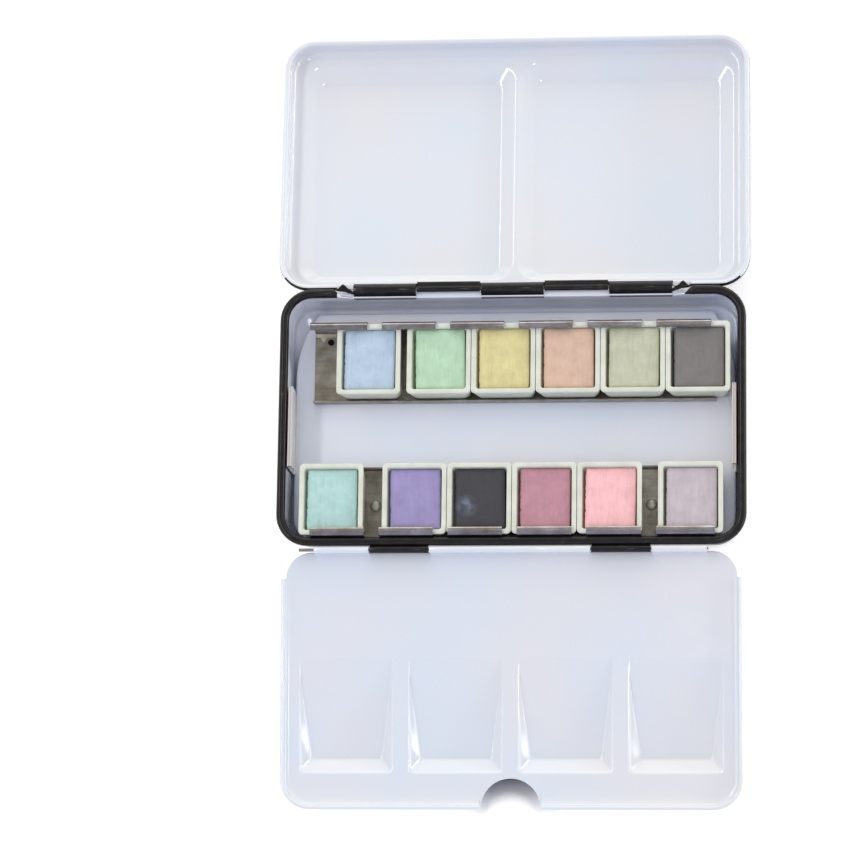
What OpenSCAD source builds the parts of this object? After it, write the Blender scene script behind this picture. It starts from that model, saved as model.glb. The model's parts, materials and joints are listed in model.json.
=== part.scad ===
// Watercolour pan set: a hinged sheet-metal tin with a lid, a fold-out mixing flap
// and a lift-out insert whose two spring rails hold twelve half pans of paint.
//
// Frame: the origin is the centre of the tin's underside, on the table.
// +X is to the right, +Y towards the lid's hinge and +Z up. Millimetres.
// The lid, the flap and their sections are drawn closed, then swung open on their hinges.

/* [Tin] */
// Width of the tin across its rolled rim
tin_w = 120; // [119:0.5:122]
// Depth of the tin across its rolled rim
tin_d = 67.4; // [67.4:0.2:69]
// Height of the rolled rim above the table
tin_h = 14; // [14:0.1:14.6]
// Radius of the tin's corners across its rolled rim
corner_r = 8.2; // [7.8:0.1:9]
// Thickness of the sheet metal
sheet_t = 0.4; // [0.35:0.05:0.4]
// Radius of the tin's rolled rim
rim_r = 1.1; // [1:0.05:1.1]

/* [Lid] */
// Width of the lid across its rolled edge
lid_w = 122; // [121.6:0.2:123]
// Depth from the lid's rim to its flat ceiling
lid_depth = 5.8; // [5.8:0.1:6.6]
// How far the two mixing wells sink below the ceiling
lid_well_depth = 2.3; // [1.5:0.1:2.3]
// Angle past the upright half turn at which the open lid meets the table
lid_lean = 3; // [1:0.5:3]

/* [Mixing flap] */
// Width of the flap across its lips
flap_w = 117.8; // [117:0.2:118]
// Height of the flap's lips, over the sheet
flap_lip_h = 2.2; // [2:0.1:2.2]
// Depth of a sloping well at its deep end
flap_well_depth = 3.5; // [2.5:0.1:3.5]
// Radius of the thumb notch
notch_r = 7.6; // [5:0.1:9]
// Angle past the half turn at which the open flap meets the table
flap_lean = 6.8; // [3:0.1:6.8]

/* [Pans] */
// Width of a half pan across its rim
pan_w = 16.5; // [16:0.1:16.5]
// Depth of a half pan across its rim, from front to back
pan_d = 18.5; // [18:0.1:18.5]
// Height of a half pan
pan_h = 10.2; // [9:0.1:10.2]
// How far each side of a pan leans in towards its base
pan_draft = 0.6; // [0.3:0.1:0.8]
// Thickness of a pan's wall at the rim
pan_wall = 1.3; // [0.9:0.1:1.5]

/* [Hidden] */
$fn = 48;
eps = 0.05;
run_gap = 0.05;

// Walls: sections are drawn with x = 0 on the inner face and x growing outwards.
rim_off = rim_r + eps;
in_hw = tin_w / 2 - rim_off - rim_r;
in_hd = tin_d / 2 - rim_off - rim_r;
in_r = corner_r - rim_off - rim_r;
floor_fillet = 1;

// Hinges: both axes lie just outside the tin, at the height of its rolled rim.
hinge_out = 0.9;
back_y = tin_d / 2 - rim_r + hinge_out;
back_z = tin_h - rim_r;
front_y = -(tin_d / 2 + 1.05);
front_z = tin_h - 1;
pin_r = 0.4;
bore_r = pin_r + run_gap;
tin_knuckle_r = 1.3;
lid_knuckle_r = 0.8;
front_knuckle_r = 0.9;
hinge_half = 45.5;
end_gap = 0.2;
// Centres and half length of the tin's three back knuckles; the lid's two lie between.
back_knuckle_x = [-33, 0, 33];
back_knuckle_half = 8.1;
lid_knuckle_x = [-16.5, 16.5];
lid_knuckle_half = 16.5 - back_knuckle_half - end_gap;
// Inner and outer ends of the tin's two front knuckles, mirrored left and right.
front_tin_knuckle = [20.7, 35.8];
front_outer_end = 50;
flap_pin_ends = [-53.9, 50.3];

// Lid, closed: its rim rests just above the tin's.
lid_rim_r = 0.75;
lid_rim_off = lid_rim_r + eps;
lid_z = tin_h + 0.1;
lid_in_hw = lid_w / 2 - lid_rim_off - lid_rim_r;
lid_back = in_hd;
lid_front = front_y + 0.35;
lid_mid = (lid_back + lid_front) / 2;
lid_in_hd = (lid_back - lid_front) / 2;
lid_corner_r = 6.4;
lid_fillet = 2;
// Each well's walls slope in by lid_well_run down to its floor.
lid_well_w = 56.8;
lid_well_x = 28.7;
lid_well_ends = [lid_front + 2.75, lid_back - 2.15];
lid_well_r = 5.2;
lid_well_run = 4.6;

// Flap, closed: its lips hang down and end just above the tin's rim.
flap_hem_r = 0.6;
flap_in_hw = flap_w / 2 - 2 * flap_hem_r - eps;
flap_top = tin_h + eps + flap_lip_h;
flap_riser = front_y + 0.5;
flap_far = in_hd - 0.25 - 2 * flap_hem_r - eps;
flap_corner_r = 6.5;
flap_lip_start = front_y + 6.9;
flap_well_w = 24;
flap_well_pitch = 28;
flap_well_y = [front_y + 27.2, front_y + 57];
flap_well_run = 4.4;
flap_well_side_run = 2.8;

// Insert: an inverted tray standing on the tin's floor.
insert_hw = in_hw - 0.75;
insert_front = -(in_hd - 0.8);
insert_back = in_hd - 2;
insert_top = 3;
insert_foot = sheet_t + run_gap;
insert_corner_r = 6;
insert_shoulder_r = 28;
tab_x = in_hw - 0.25;
tab_y = [-13, 8];
tab_hem = 1.2;
tab_top = tin_h - 0.4;
tab_fold_low = 8;

// Rails: one folded strip each, with the clips on the side nearest the tin's wall.
row_back_y = 15;
row_front_y = -21.6;
rail_half = 52;
rail_floor = insert_top + sheet_t;
rail_lip_h = 3;
clip_t = 0.35;
clip_w = 13.9;
clip_pitch = 17.65;
clip_in = pan_d / 2 + run_gap;
rivet_x = 35.5;
rivet_r = 0.75;
rivet_head_r = 1.5;
rivet_head_h = 0.8;

// Pans stand on the rail's floor.
pan_z = rail_floor + run_gap;
pan_top = pan_z + pan_h;
pan_floor_t = 1.6;
pan_groove = [12, 1];
pan_gap = 0.1;
pan_pitch = pan_w + pan_gap;
cake_side_gap = 0.35;
cake_end_gap = 0.1;
cake_below_rim = 0.7;
back_pan_x = [-36.85, for (k = [0:4]) -18.7 + k * pan_pitch];
front_pan_x = [-45.9, for (k = [0:3]) -24.5 + k * pan_pitch, 45.85];

// Colours
black_lacquer = "#26221f";
white_enamel = "#dde0ea";
bare_steel = "#8f8b86";
pan_plastic = "#f0f0e2";

// ---------- shapes that several parts use ----------

// A rectangle with round corners, centred on the origin.
module round_rect(w, d, r) {
    square([w - 2 * r, d], center = true);
    square([w, d - 2 * r], center = true);
    for (x = [-1, 1], y = [-1, 1])
        translate([x * (w / 2 - r), y * (d / 2 - r)]) circle(r);
}

// Carries a wall section around a rounded rectangle whose inner face is hw by hd.
module sweep(hw, hd, r) {
    for (side = [0:3]) {
        across = side % 2 == 0 ? hw : hd;
        along = side % 2 == 0 ? hd : hw;
        rotate([0, 0, 90 * side]) {
            translate([across, along - r, 0]) rotate([90, 0, 0])
                linear_extrude(2 * (along - r)) children();
            translate([across - r, along - r, 0])
                rotate_extrude(angle = 90) translate([r, 0]) children();
        }
    }
}

// A quarter ring of sheet from the floor, at z = low, up to the inner face.
module fillet_section(r, low, up) {
    translate([-r, low + up * (r + sheet_t)]) intersection() {
        difference() {
            circle(r + sheet_t);
            circle(r);
        }
        translate([0, up > 0 ? -r - 1 : 0]) square(r + 1);
    }
}

// A bar along X from x0 to x1, with its middle on the axis at (y, z).
module x_rod(x0, x1, y, z, r) {
    translate([x0, y, z]) rotate([0, 90, 0]) cylinder(h = x1 - x0, r = r);
}

// A block given by its lowest and highest corners.
module block(low, high) {
    translate(low) cube(high - low);
}

// Extrudes a section drawn in (y, z) along X, from x0 to x1.
module along_x(x0, x1) {
    translate([x0, 0, 0]) rotate([90, 0, 90]) linear_extrude(x1 - x0) children();
}

// Swings its children about an X axis through (y, z).
module swing(y, z, angle) {
    translate([0, y, z]) rotate([angle, 0, 0]) translate([0, -y, -z]) children();
}

// ---------- the tin ----------

module tin_section() {
    wall_low = sheet_t + floor_fillet;
    translate([0, wall_low]) square([sheet_t, back_z - wall_low]);
    translate([rim_off, back_z]) circle(rim_r);
    fillet_section(floor_fillet, 0, 1);
}

module base_tin() {
    open_z = back_z - 1;
    color(black_lacquer) difference() {
        union() {
            difference() {
                union() {
                    sweep(in_hw, in_hd, in_r) tin_section();
                    linear_extrude(sheet_t) round_rect(2 * (in_hw - floor_fillet),
                        2 * (in_hd - floor_fillet), in_r - floor_fillet);
                }
                // The rolled rim stops where the lid's hinge begins.
                block([-hinge_half, in_hd + sheet_t, open_z - 1], [hinge_half, tin_d, tin_h + 1]);
                block([-hinge_half, in_hd - 1, back_z], [hinge_half, tin_d, tin_h + 1]);
                // The wall stands lower behind the lid's knuckles.
                for (x = lid_knuckle_x)
                    block([x - lid_knuckle_half - end_gap, in_hd - 1, open_z],
                        [x + lid_knuckle_half + end_gap, tin_d, tin_h + 1]);
            }
            for (x = back_knuckle_x) {
                x_rod(x - back_knuckle_half, x + back_knuckle_half, back_y, back_z, tin_knuckle_r);
                block([x - back_knuckle_half, in_hd, back_z - 1.2],
                    [x + back_knuckle_half, back_y, back_z - 0.6]);
            }
            for (side = [-1, 1]) {
                mid = side * (front_tin_knuckle[0] + front_tin_knuckle[1]) / 2;
                half = (front_tin_knuckle[1] - front_tin_knuckle[0]) / 2;
                x_rod(mid - half, mid + half, front_y, front_z, front_knuckle_r);
                block([mid - half, front_y, front_z - 0.8], [mid + half, front_y + 1.6, front_z - 0.35]);
            }
        }
        x_rod(-hinge_half, hinge_half, back_y, back_z, bore_r);
        x_rod(-tin_w / 2, tin_w / 2, front_y, front_z, bore_r);
    }
}

module lid_hinge_pin() {
    end = back_knuckle_x[2] + back_knuckle_half;
    color(bare_steel) x_rod(-end, end, back_y, back_z, pin_r);
}

module flap_hinge_pin() {
    color(bare_steel) x_rod(flap_pin_ends[0], flap_pin_ends[1], front_y, front_z, pin_r);
}

// ---------- the lid ----------

module lid_section() {
    ceiling = lid_z + lid_depth;
    translate([0, lid_z + lid_rim_r])
        square([sheet_t, ceiling - lid_fillet - lid_z - lid_rim_r]);
    translate([lid_rim_off, lid_z + lid_rim_r]) circle(lid_rim_r);
    fillet_section(lid_fillet, ceiling + sheet_t, -1);
}

// The outline of one mixing well, drawn in by inset.
module lid_well_outline(inset) {
    length = lid_well_ends[1] - lid_well_ends[0];
    round_rect(lid_well_w - 2 * inset, length - 2 * inset, lid_well_r - inset);
}

// Draws its children in both wells.
module at_lid_wells() {
    for (side = [-1, 1])
        translate([side * lid_well_x, (lid_well_ends[0] + lid_well_ends[1]) / 2, 0]) children();
}

// One mixing well: walls that slope in from the ceiling, and a flat floor.
module lid_well() {
    ceiling = lid_z + lid_depth;
    bottom = ceiling + lid_well_depth;
    sweep(lid_well_w / 2, (lid_well_ends[1] - lid_well_ends[0]) / 2, lid_well_r)
        polygon([
            [0, ceiling], [0, ceiling + sheet_t],
            [-lid_well_run, bottom + sheet_t], [-lid_well_run, bottom]
        ]);
    translate([0, 0, bottom]) linear_extrude(sheet_t) lid_well_outline(lid_well_run);
}

module lid_closed() {
    ceiling = lid_z + lid_depth;
    difference() {
        union() {
            difference() {
                union() {
                    translate([0, lid_mid, 0]) sweep(lid_in_hw, lid_in_hd, lid_corner_r) lid_section();
                    translate([0, 0, ceiling]) linear_extrude(sheet_t) difference() {
                        translate([0, lid_mid])
                            round_rect(2 * (lid_in_hw - lid_fillet), 2 * (lid_in_hd - lid_fillet),
                                lid_corner_r - lid_fillet);
                        at_lid_wells() lid_well_outline(0);
                    }
                    at_lid_wells() lid_well();
                }
                // No rolled edge along the hinge.
                block([-hinge_half, lid_back + sheet_t, lid_z - 1],
                    [hinge_half, lid_back + 3, lid_z + 2 * lid_rim_r + eps]);
                block([-hinge_half, lid_back - 1, lid_z - 1], [hinge_half, lid_back + 3, lid_z]);
            }
            for (x = lid_knuckle_x) {
                x_rod(x - lid_knuckle_half, x + lid_knuckle_half, back_y, back_z, lid_knuckle_r);
                block([x - lid_knuckle_half, lid_back, back_z - 0.3],
                    [x + lid_knuckle_half, lid_back + sheet_t, lid_z + 1]);
                block([x - lid_knuckle_half, lid_back + 0.1, back_z - 0.4],
                    [x + lid_knuckle_half, back_y - 0.3, back_z + 0.3]);
            }
        }
        x_rod(-tin_w / 2, tin_w / 2, back_y, back_z, bore_r);
    }
}

module lid() {
    color(white_enamel) swing(back_y, back_z, -180 - lid_lean) lid_closed();
}

// ---------- the mixing flap ----------

module flap_section() {
    lip_end = flap_top - flap_lip_h;
    translate([0, lip_end + flap_hem_r]) square([sheet_t, flap_lip_h - flap_hem_r]);
    translate([flap_hem_r + eps, lip_end + flap_hem_r]) circle(flap_hem_r);
}

// The side view of a sloping well: level with the sheet at one end, deep at the other.
module well_side_view(lift, inset) {
    under = flap_top - sheet_t;
    polygon([
        [flap_well_y[0], under - 1],
        [flap_well_y[0], under + lift],
        [flap_well_y[1] - flap_well_run - inset, under + flap_well_depth + lift],
        [flap_well_y[1] - inset, under + lift],
        [flap_well_y[1] - inset, under - 1]
    ]);
}

// The end view of a sloping well, whose sides lean in as it gets deeper.
module well_end_view(lift, inset) {
    under = flap_top - sheet_t;
    half = flap_well_w / 2 - inset;
    polygon([
        [-half, under - 1], [-half, under + lift],
        [flap_well_side_run - half, under + flap_well_depth + lift],
        [half - flap_well_side_run, under + flap_well_depth + lift],
        [half, under + lift], [half, under - 1]
    ]);
}

// Four wells side by side, each the space shared by its two views.
module flap_wells(lift, inset) {
    for (k = [-1.5:1:1.5]) translate([k * flap_well_pitch, 0, 0]) intersection() {
        along_x(-flap_well_w, flap_well_w) well_side_view(lift, inset);
        translate([0, tin_d, 0]) rotate([90, 0, 0]) linear_extrude(2 * tin_d)
            well_end_view(lift, inset);
    }
}

module flap_closed() {
    mid = (flap_riser + flap_far) / 2;
    hd = (flap_far - flap_riser) / 2;
    difference() {
        union() {
            translate([0, mid, flap_top - sheet_t])
                linear_extrude(sheet_t) round_rect(2 * flap_in_hw, 2 * hd, flap_corner_r);
            intersection() {
                translate([0, mid, 0]) sweep(flap_in_hw, hd, flap_corner_r) flap_section();
                block([-tin_w, flap_lip_start, 0], [tin_w, tin_d, 2 * tin_h]);
            }
            intersection() {
                flap_wells(sheet_t, -sheet_t / 2);
                block([-tin_w, -tin_d, flap_top - sheet_t], [tin_w, tin_d, 2 * tin_h]);
            }
            flap_knuckles() {
                x_rod(0, 1, front_y, front_z, front_knuckle_r);
                block([0, flap_riser, front_z], [1, flap_riser + sheet_t, flap_top]);
            }
        }
        flap_wells(0, 0);
        x_rod(-tin_w / 2, tin_w / 2, front_y, front_z, bore_r);
        translate([0, in_hd - 0.25 - 8 + notch_r, 0]) cylinder(h = 2 * tin_h, r = notch_r);
    }
}

// Stretches its children, drawn one millimetre long, over each of the flap's knuckles.
module flap_knuckles() {
    inner = front_tin_knuckle[0] - end_gap;
    outer = front_tin_knuckle[1] + end_gap;
    for (run = [[-front_outer_end, -outer], [-inner, inner], [outer, front_outer_end]])
        translate([run[0], 0, 0]) scale([run[1] - run[0], 1, 1]) children();
}

module mixing_flap() {
    color(white_enamel) swing(front_y, front_z, 180 + flap_lean) flap_closed();
}

// ---------- the lift-out insert ----------

// Outline of the insert: round front corners, and back corners cut by wide arcs.
module insert_outline(inset) {
    hw = insert_hw - inset;
    depth = insert_back - insert_front - 2 * inset;
    arc_x = insert_hw - insert_shoulder_r;
    arc_y = insert_back - 17;
    intersection() {
        translate([0, (insert_back + insert_front) / 2])
            round_rect(2 * hw, depth, insert_corner_r - inset);
        union() {
            translate([-tin_w, arc_y - tin_d]) square([2 * tin_w, tin_d]);
            translate([-arc_x, 0]) square([2 * arc_x, tin_d]);
            for (x = [-arc_x, arc_x]) translate([x, arc_y]) circle(insert_shoulder_r - inset);
        }
    }
}

// A finger grip: the plate's edge bent up and folded over at the top.
module finger_tab() {
    inner = tab_x - tab_hem;
    block([insert_hw - 1, tab_y[0], insert_top - sheet_t], [tab_x, tab_y[1], insert_top]);
    block([tab_x - sheet_t, tab_y[0], insert_top - sheet_t], [tab_x, tab_y[1], tab_top]);
    block([inner, tab_y[0], tab_top - sheet_t], [tab_x, tab_y[1], tab_top]);
    block([inner, tab_y[0], tab_fold_low], [inner + sheet_t, tab_y[1], tab_top]);
}

module rivet_holes() {
    for (x = [-1, 1], y = [row_back_y, row_front_y])
        translate([x * rivet_x, y, 0]) cylinder(h = 2 * insert_top, r = rivet_r + run_gap);
}

module insert_plate() {
    color(white_enamel) difference() {
        union() {
            difference() {
                translate([0, 0, insert_foot]) linear_extrude(insert_top - insert_foot) insert_outline(0);
                translate([0, 0, -1]) linear_extrude(insert_top - sheet_t + 1) insert_outline(sheet_t);
            }
            finger_tab();
            mirror([1, 0, 0]) finger_tab();
        }
        rivet_holes();
    }
}

// Rail section in (v, z), where v runs outwards from the middle of the row of pans.
module rail_floor_section() {
    edge = clip_in + clip_t;
    translate([-clip_in - sheet_t, insert_top]) square([clip_in + sheet_t + edge, sheet_t]);
    translate([-clip_in - sheet_t, insert_top]) square([sheet_t, sheet_t + rail_lip_h]);
}

module clip_section() {
    edge = clip_in + clip_t;
    bend = pan_top + 0.1;
    polygon([
        [clip_in, insert_top], [clip_in, bend], [clip_in - 0.65, bend + 0.6],
        [clip_in - 1.25, bend + 0.4], [clip_in - 1.15, bend + 0.75], [clip_in - 0.6, bend + 1.05],
        [edge, bend + 0.15], [edge, insert_top]
    ]);
}

// One rail. The clip at its first end runs on to the end of the rail.
module rail(y, turn) {
    color(bare_steel) difference() {
        translate([0, y, 0]) rotate([0, 0, turn]) {
            along_x(-rail_half, rail_half) rail_floor_section();
            for (k = [0:5]) {
                middle = (k - 2.5) * clip_pitch;
                along_x(k == 0 ? -rail_half : middle - clip_w / 2, middle + clip_w / 2) clip_section();
            }
        }
        rivet_holes();
    }
}

module rail_back() { rail(row_back_y, 0); }

// The same part as the back rail, turned round.
module rail_front() { rail(row_front_y, 180); }

// A domed head over the rail, a shank through rail and plate, and a flat head beneath.
module rivet() {
    foot = insert_top - sheet_t;
    dome_r = (rivet_head_r * rivet_head_r + rivet_head_h * rivet_head_h) / (2 * rivet_head_h);
    translate([0, 0, foot - 0.4]) cylinder(h = 0.4, r = rivet_head_r);
    translate([0, 0, foot - 0.2]) cylinder(h = rail_floor - foot + 0.4, r = rivet_r);
    translate([0, 0, rail_floor]) intersection() {
        translate([0, 0, rivet_head_h - dome_r]) sphere(dome_r);
        cylinder(h = 2 * rivet_head_h, r = 2 * rivet_head_r);
    }
}

module rail_rivets() {
    color(bare_steel) for (x = [-1, 1], y = [row_back_y, row_front_y])
        translate([x * rivet_x, y, 0]) rivet();
}

// ---------- pans and paint ----------

// A box that leans in by draft on every side over its height, from z = 0 up.
module tapered_box(w, d, h, draft) {
    intersection() {
        rotate([90, 0, 0]) linear_extrude(2 * d, center = true)
            polygon([[-w / 2, h], [w / 2, h], [w / 2 - draft, 0], [draft - w / 2, 0]]);
        rotate([90, 0, 90]) linear_extrude(2 * w, center = true)
            polygon([[-d / 2, h], [d / 2, h], [d / 2 - draft, 0], [draft - d / 2, 0]]);
    }
}

module pan(x, y) {
    cavity_h = pan_h - pan_floor_t;
    color(pan_plastic) translate([x, y, pan_z]) difference() {
        tapered_box(pan_w, pan_d, pan_h, pan_draft);
        translate([0, 0, pan_floor_t])
            tapered_box(pan_w - 2 * pan_wall, pan_d - 2 * pan_wall, cavity_h + eps, pan_draft);
        // The groove underneath lets the pan slide over the rivets.
        translate([-pan_w, -pan_groove[0] / 2, -1]) cube([2 * pan_w, pan_groove[0], 1 + pan_groove[1]]);
    }
}

module paint(x, y, shade) {
    h = pan_h - pan_floor_t - cake_below_rim;
    lost = pan_draft * cake_below_rim / (pan_h - pan_floor_t);
    w = pan_w - 2 * (pan_wall + lost + cake_side_gap);
    d = pan_d - 2 * (pan_wall + lost + cake_end_gap);
    color(shade) translate([x, y, pan_z + pan_floor_t]) tapered_box(w, d, h, pan_draft - lost);
}

base_tin();
lid();
mixing_flap();
lid_hinge_pin();
flap_hinge_pin();
insert_plate();
rail_back();
rail_front();
rail_rivets();
pan(back_pan_x[0], row_back_y);  // pan_back_1
pan(back_pan_x[1], row_back_y);  // pan_back_2
pan(back_pan_x[2], row_back_y);  // pan_back_3
pan(back_pan_x[3], row_back_y);  // pan_back_4
pan(back_pan_x[4], row_back_y);  // pan_back_5
pan(back_pan_x[5], row_back_y);  // pan_back_6
pan(front_pan_x[0], row_front_y);  // pan_front_1
pan(front_pan_x[1], row_front_y);  // pan_front_2
pan(front_pan_x[2], row_front_y);  // pan_front_3
pan(front_pan_x[3], row_front_y);  // pan_front_4
pan(front_pan_x[4], row_front_y);  // pan_front_5
pan(front_pan_x[5], row_front_y);  // pan_front_6
paint(back_pan_x[0], row_back_y, "#b8c9d7");  // paint_sky_blue
paint(back_pan_x[1], row_back_y, "#b4d6b6");  // paint_mint_green
paint(back_pan_x[2], row_back_y, "#d9cf97");  // paint_khaki_yellow
paint(back_pan_x[3], row_back_y, "#d7b7a1");  // paint_peach
paint(back_pan_x[4], row_back_y, "#c2c2aa");  // paint_sage_green
paint(back_pan_x[5], row_back_y, "#7a7774");  // paint_warm_grey
paint(front_pan_x[0], row_front_y, "#b2d2cc");  // paint_aqua
paint(front_pan_x[1], row_front_y, "#9a91b9");  // paint_purple
paint(front_pan_x[2], row_front_y, "#48464b");  // paint_charcoal
paint(front_pan_x[3], row_front_y, "#bc8b96");  // paint_mauve_rose
paint(front_pan_x[4], row_front_y, "#f9c0c1");  // paint_pink
paint(front_pan_x[5], row_front_y, "#c2b7bc");  // paint_lilac_grey
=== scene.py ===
import json
import math
import random

import bmesh
import bpy
from mathutils import Matrix, Vector, noise


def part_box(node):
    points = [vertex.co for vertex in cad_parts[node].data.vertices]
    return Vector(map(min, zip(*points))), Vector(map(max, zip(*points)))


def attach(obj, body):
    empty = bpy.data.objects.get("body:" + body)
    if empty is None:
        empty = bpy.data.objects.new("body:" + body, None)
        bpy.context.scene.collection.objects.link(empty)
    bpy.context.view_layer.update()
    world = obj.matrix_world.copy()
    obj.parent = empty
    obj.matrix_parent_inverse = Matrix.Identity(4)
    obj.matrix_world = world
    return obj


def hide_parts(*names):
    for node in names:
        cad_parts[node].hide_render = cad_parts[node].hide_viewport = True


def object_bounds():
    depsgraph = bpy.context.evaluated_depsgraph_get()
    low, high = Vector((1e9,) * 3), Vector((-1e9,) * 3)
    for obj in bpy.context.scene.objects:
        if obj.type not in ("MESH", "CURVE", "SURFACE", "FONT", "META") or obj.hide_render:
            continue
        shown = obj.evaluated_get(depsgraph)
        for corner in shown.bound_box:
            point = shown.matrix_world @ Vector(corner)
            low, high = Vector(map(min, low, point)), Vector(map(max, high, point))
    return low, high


# Looks of the watercolour pan set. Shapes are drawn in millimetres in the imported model's own frame:
# +X right, +Y towards the lid's hinge, +Z up. The lid and the flap are drawn closed, then swung open.

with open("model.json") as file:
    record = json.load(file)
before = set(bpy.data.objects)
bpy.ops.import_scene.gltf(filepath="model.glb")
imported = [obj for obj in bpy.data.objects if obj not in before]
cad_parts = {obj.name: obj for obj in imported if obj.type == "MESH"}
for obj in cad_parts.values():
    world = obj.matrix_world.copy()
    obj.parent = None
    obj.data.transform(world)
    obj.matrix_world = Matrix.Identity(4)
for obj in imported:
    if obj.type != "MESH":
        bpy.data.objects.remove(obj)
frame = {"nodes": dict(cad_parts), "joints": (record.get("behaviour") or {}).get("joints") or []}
cad_low, cad_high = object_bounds()

MM = 0.001
SHEET = 0.4                     # thickness of the enamelled sheet metal
ARC_STEPS = 10                  # segments in a quarter turn of an outline
BEND_STEPS = 6                  # segments in a bend or fillet of the sheet
BEAD_STEPS = 22                 # segments round a rolled rim


def box_mm(node):
    """The lowest and highest corner of a CAD node, in millimetres."""
    low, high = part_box(node)
    return low / MM, high / MM


def joint(name):
    return next(j for j in frame["joints"] if j["name"] == name)


def swing_open(name):
    """The matrix that carries a part drawn closed to where it lies at rest, fully open."""
    hinge = joint(name)
    pivot = Vector(hinge["pos_m"]) / MM
    turn = Matrix.Rotation(math.radians(-hinge["range_deg"][0]), 4, Vector(hinge["axis"]))
    return Matrix.Translation(pivot) @ turn @ Matrix.Translation(-pivot)


# ---------------------------------------------------------------- sizes taken from the frame

tin_high = box_mm("base_tin")[1]
lid_high = box_mm("lid")[1]
flap_high = box_mm("mixing_flap")[1]
plate_low, plate_high = box_mm("insert_plate")
back_axis = Vector(joint("lid_hinge")["pos_m"]) / MM
front_axis = Vector(joint("flap_hinge")["pos_m"]) / MM

RIM_R = 1.1                                     # rolled rim of the tin
HINGE_OUT = 0.9                                 # how far the lid's axis lies outside the rim's middle
TIN_HW = tin_high.x - 2 * RIM_R - 0.05          # inner half width of the tin
TIN_HD = back_axis.y - HINGE_OUT - RIM_R - 0.05             # inner half depth of the tin
TIN_R = 5.95                                    # inner corner radius of the tin
RIM_Z = back_axis.z                             # height of the middle of the rolled rim
HINGE_HALF = 45.5                               # half length of the hinge, where the rims stop
TIN_KNUCKLES = (-33.0, 0.0, 33.0)
TIN_KNUCKLE_HALF = 8.1
LID_KNUCKLES = (-16.5, 16.5)
LID_KNUCKLE_HALF = 8.2
FRONT_KNUCKLE = (20.7, 35.8)
FRONT_OUTER_END = 50.0

LID_BEAD_R = 0.75
LID_HW = lid_high.x - 2 * LID_BEAD_R - 0.05
LID_BACK = TIN_HD
LID_FRONT = front_axis.y + 0.35
LID_RIM_Z = RIM_Z + RIM_R + 0.1                 # the closed lid's rim, just above the tin's
LID_DEPTH = 5.8
LID_WELL_DEPTH = 2.3
LID_WELL_X = (0.06, 57.1)                       # inner and outer side of the right-hand well
LID_WELL_Y = (LID_FRONT + 2.75, LID_BACK - 2.15)
LID_WELL_R, LID_WELL_FLOOR_R = 5.2, 2.6         # corner radii of a well's rim and of its floor
LID_WELL_RUN = 4.6                              # how far a well's side walls slope in
LID_WELL_FAR_RUN = 6.55
LID_WELL_NEAR_RUN = 2.4

FLAP_BEAD_R = 0.6
FLAP_HW = flap_high.x - 2 * FLAP_BEAD_R - 0.05
FLAP_TOP = RIM_Z + RIM_R + 2.25                 # closed height of the flap's sheet
FLAP_LIP = 1.8
FLAP_RISER = front_axis.y + 0.5
FLAP_FAR = TIN_HD - 1.5
FLAP_WELL_DEPTH = 3.5
FLAP_WELL_PITCH = 28.0
FLAP_WELL_Y = (front_axis.y + 27.2, front_axis.y + 57.0)
NOTCH_R = 7.6
NOTCH_DEPTH = 8.0                               # from the lip's outer side to the notch's deepest point

PLATE_TOP = 3.0
GRIP_Y = (-13.0, 8.0)                           # front and back end of the finger grips
PAN_HEIGHT = 10.2


# ---------------------------------------------------------------- outlines and sections

def arc(cx, cy, r, start, end, steps=ARC_STEPS):
    """Points on a circle from the start to the end angle, in degrees."""
    turns = [math.radians(start + (end - start) * k / steps) for k in range(steps + 1)]
    return [Vector((cx + r * math.cos(a), cy + r * math.sin(a))) for a in turns]


def rounded_box(x0, x1, y0, y1, r, back_stops=(), side_stops=()):
    """An anticlockwise outline with round corners.

    The stops are extra points: x along the back, and y along both sides.
    """
    right = [Vector((x1, y)) for y in sorted(side_stops)]
    left = [Vector((x0, p.y)) for p in reversed(right)]
    back = [Vector((x, y1)) for x in sorted(back_stops, reverse=True)]
    return (arc(x1 - r, y0 + r, r, -90, 0) + right + arc(x1 - r, y1 - r, r, 0, 90) + back
            + arc(x0 + r, y1 - r, r, 90, 180) + left + arc(x0 + r, y0 + r, r, 180, 270))


def outward(points, closed=True):
    """For each point of an anticlockwise outline, the vector that offsets it by one."""
    result = []
    last = len(points) - 1
    for i, p in enumerate(points):
        before = p - points[i - 1] if closed or i > 0 else points[1] - p
        after = points[(i + 1) % len(points)] - p if closed or i < last else p - points[i - 1]
        before, after = before.normalized(), after.normalized()
        a, b = Vector((before.y, -before.x)), Vector((after.y, -after.x))
        result.append((a + b) / (1 + a.dot(b)))
    return result


def offset(points, distance):
    return [p + n * distance for p, n in zip(points, outward(points))]


def bend(points, radius, steps=BEND_STEPS):
    """A path through the points whose corners are bent to a radius."""
    path = [Vector(points[0])]
    for before, corner, after in zip(points, points[1:], points[2:]):
        corner = Vector(corner)
        a = (Vector(before) - corner).normalized()
        b = (Vector(after) - corner).normalized()
        half = a.angle(b) / 2
        reach = radius / math.tan(half)
        centre = corner + (a + b).normalized() * (radius / math.sin(half))
        start = (corner + a * reach - centre)
        sweep = start.angle_signed(corner + b * reach - centre)
        for k in range(steps + 1):
            path.append(centre + Matrix.Rotation(-sweep * k / steps, 2) @ start)
    path.append(Vector(points[-1]))
    return path


def strip(path, thickness):
    """The closed outline of a strip of sheet whose middle follows an open path."""
    half = thickness / 2
    sides = outward(path, closed=False)
    right = [p + n * half for p, n in zip(path, sides)]
    left = [p - n * half for p, n in zip(path, sides)]
    nib_end = path[-1] + (path[-1] - path[-2]).normalized() * half * 0.6
    nib_start = path[0] + (path[0] - path[1]).normalized() * half * 0.6
    return right + [nib_end] + left[::-1] + [nib_start]


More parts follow.
